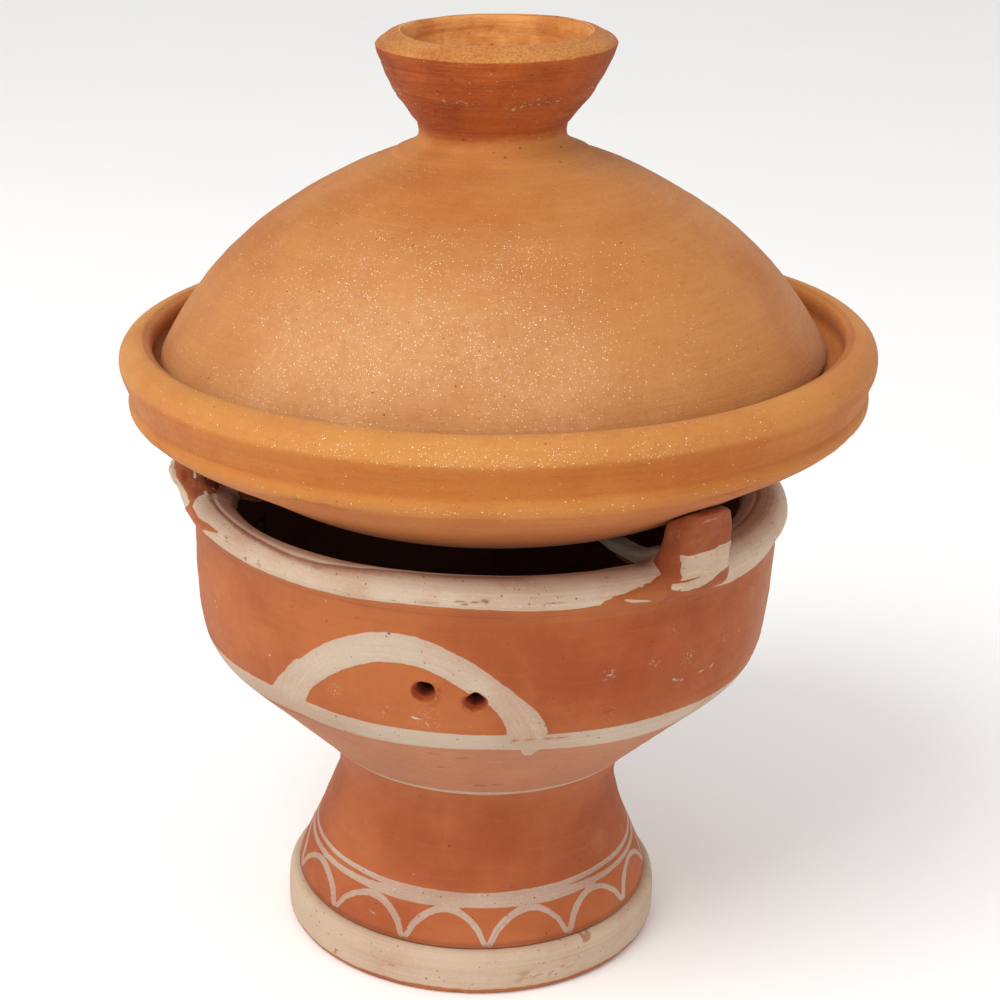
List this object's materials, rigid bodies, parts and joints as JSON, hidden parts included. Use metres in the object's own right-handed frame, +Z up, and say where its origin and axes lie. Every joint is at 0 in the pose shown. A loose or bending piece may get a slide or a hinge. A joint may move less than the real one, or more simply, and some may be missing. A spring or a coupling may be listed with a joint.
{
  "type": "tagine pot on a clay brazier",
  "caption": "Low-domed clay cooking dish and lid with a flared collar knob, standing on a footed clay charcoal brazier with slip-painted bands.",
  "frame": {"origin": "under the middle of the whole object's box, on the surface it stands on", "axes": "+Z up along the brazier's axis; the front, with the painted arch, faces -Y; +X to its right"},
  "size_m": [0.2998, 0.3, 0.3777],
  "materials": {
    "slip_foot_ring": "matte cream slip brushed over terracotta",
    "clay_pedestal": "burnished red terracotta, painted with cream slip",
    "clay_bowl": "burnished red terracotta, painted with cream slip",
    "slip_rim": "matte cream slip over terracotta, rubbed near the mouth",
    "clay_lug_right": "hand-smeared terracotta with dabs of slip",
    "clay_lug_back": "hand-smeared terracotta with dabs of slip",
    "clay_lug_left": "hand-smeared terracotta with dabs of slip",
    "clay_dish": "unglazed golden terracotta with fine mica",
    "clay_lid": "unglazed golden terracotta with fine mica",
    "clay_knob": "unglazed reddish terracotta with throwing lines"
  },
  "bodies": {
    "brazier": {"foot_ring": "slip_foot_ring", "pedestal": "clay_pedestal", "brazier_bowl": "clay_bowl", "brazier_rim": "slip_rim", "lug_right": "clay_lug_right", "lug_back": "clay_lug_back", "lug_left": "clay_lug_left"},
    "dish_body": {"dish": "clay_dish"},
    "lid": {"lid_dome": "clay_lid", "lid_knob": "clay_knob"}
  },
  "joints": [
    {"name": "dish_lift", "type": "slide", "parent": "brazier", "child": "dish_body", "axis": [0, 0, 1], "range_m": [0, 0.15]},
    {"name": "lid_lift", "type": "slide", "parent": "dish_body", "child": "lid", "axis": [-0.0326, 0, 0.9995], "range_m": [0, 0.15]}
  ]
}
